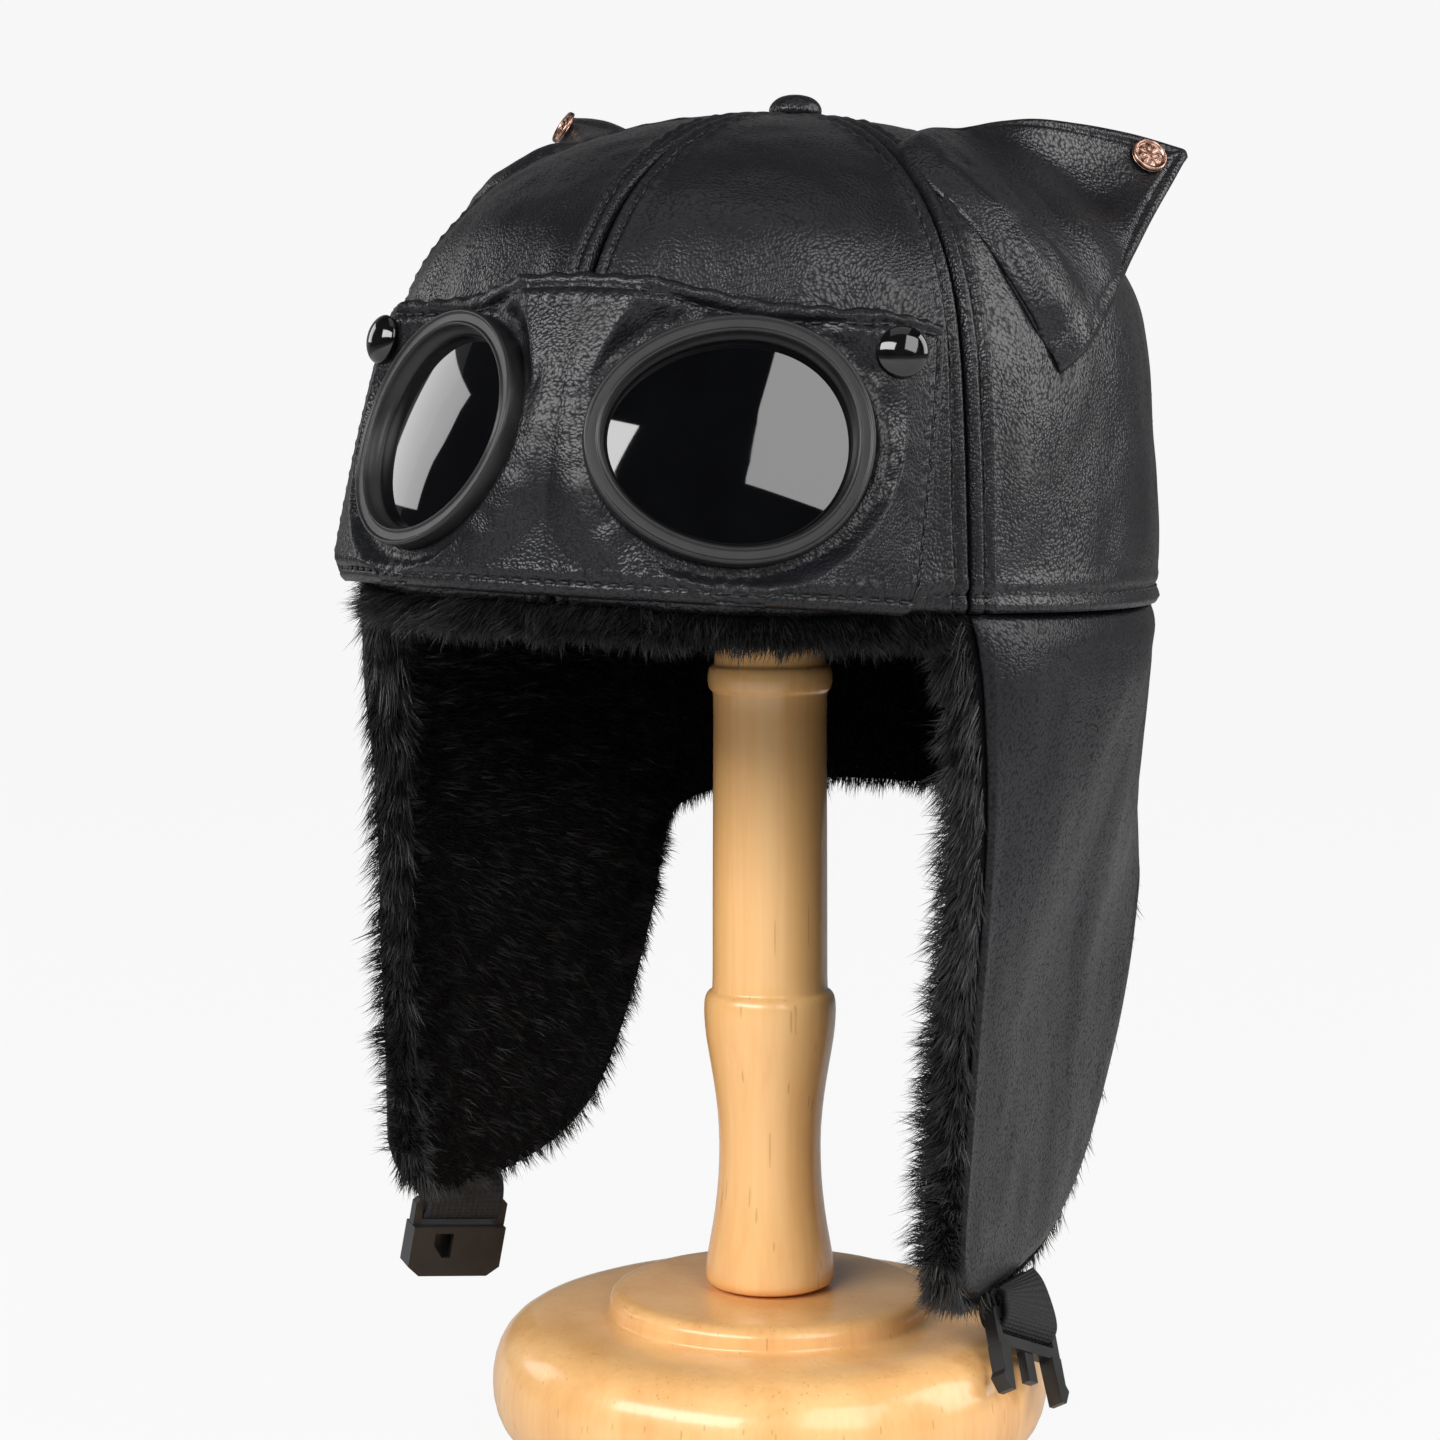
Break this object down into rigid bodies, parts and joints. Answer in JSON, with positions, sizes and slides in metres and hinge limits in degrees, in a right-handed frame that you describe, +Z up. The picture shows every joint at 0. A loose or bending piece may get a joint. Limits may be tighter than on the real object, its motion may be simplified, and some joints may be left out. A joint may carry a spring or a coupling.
{
  "type": "novelty leather flying helmet with cat ears and goggles on a wooden stand",
  "caption": "Soft black leather flying helmet with cat ears, fixed goggles, fur-lined ear and neck flaps and short buckle straps, on a turned wooden display stand.",
  "frame": {"origin": "on the floor, on the stand's axis, under the middle of its base", "axes": "+Z up along the stand's post, the helmet faces -Y, the wearer's left is +X"},
  "size_m": [0.1962, 0.2227, 0.3292],
  "materials": {
    "leather": "matte black pebbled leather with a soft sheen",
    "fur": "deep black pile",
    "plastic": "satin black moulded plastic",
    "lens": "near-black glossy lens, not see-through",
    "snap": "black enamelled domed cap",
    "rivet": "worn copper",
    "webbing": "woven black webbing",
    "wood": "turned pale wood with a satin varnish"
  },
  "bodies": {
    "root": {"crown_front_left": "leather", "crown_front_right": "leather", "crown_side_left": "leather", "crown_side_right": "leather", "crown_back_left": "leather", "crown_back_right": "leather", "crown_button": "leather", "skirt_leather_left": "leather", "skirt_fur_left": "fur", "skirt_leather_right": "leather", "skirt_fur_right": "fur", "front_fur_trim": "fur", "goggle_band": "leather", "goggle_ring_left": "plastic", "goggle_lens_left": "lens", "snap_left": "snap", "strap_left": "webbing", "ear_front_left": "leather", "ear_back_left": "leather", "ear_rivet_left": "rivet", "goggle_ring_right": "plastic", "goggle_lens_right": "lens", "snap_right": "snap", "strap_right": "webbing", "ear_front_right": "leather", "ear_back_right": "leather", "ear_rivet_right": "rivet", "buckle_male": "plastic", "buckle_female": "plastic", "stand_base": "wood", "stand_post": "wood"}
  },
  "joints": []
}
